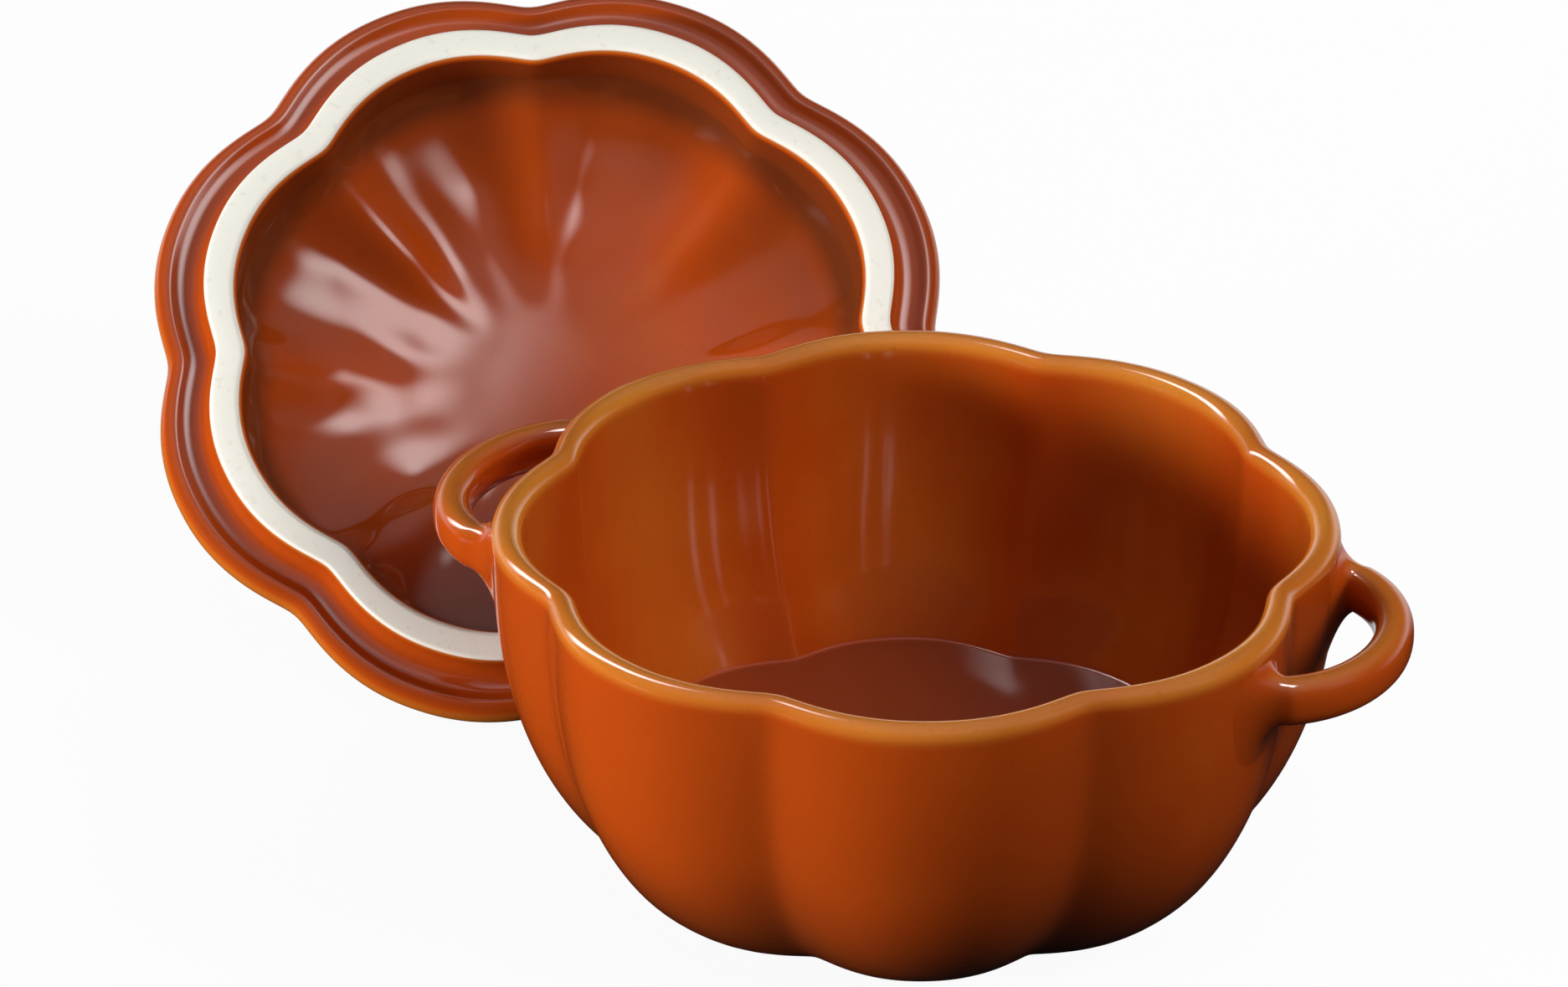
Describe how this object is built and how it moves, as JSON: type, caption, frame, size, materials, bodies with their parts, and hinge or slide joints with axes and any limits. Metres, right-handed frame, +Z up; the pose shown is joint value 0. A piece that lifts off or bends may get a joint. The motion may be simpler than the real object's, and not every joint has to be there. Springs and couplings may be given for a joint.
{
  "type": "pumpkin cocotte",
  "caption": "Lobed pumpkin-shaped stoneware cocotte with loop handles; its domed lid with a bent stem knob lies upturned beside the pot.",
  "frame": {"origin": "on the pot's axis, at the plane that its foot ring stands on", "axes": "+Z up, +X towards the right handle, +Y away from the viewer, towards the side where the lid lies"},
  "size_m": [0.2657, 0.2083, 0.0971],
  "materials": {
    "glaze": "gloss"
  },
  "bodies": {
    "pot": {"pot": "glaze", "left_handle": "glaze", "right_handle": "glaze"},
    "lid": {"lid": "glaze", "stem": "glaze"}
  },
  "joints": [
    {"name": "lid_lift", "type": "slide", "parent": "pot", "child": "lid", "axis": [-0.5792, 0.4056, 0.7071], "range_m": [0, 0.13]}
  ]
}
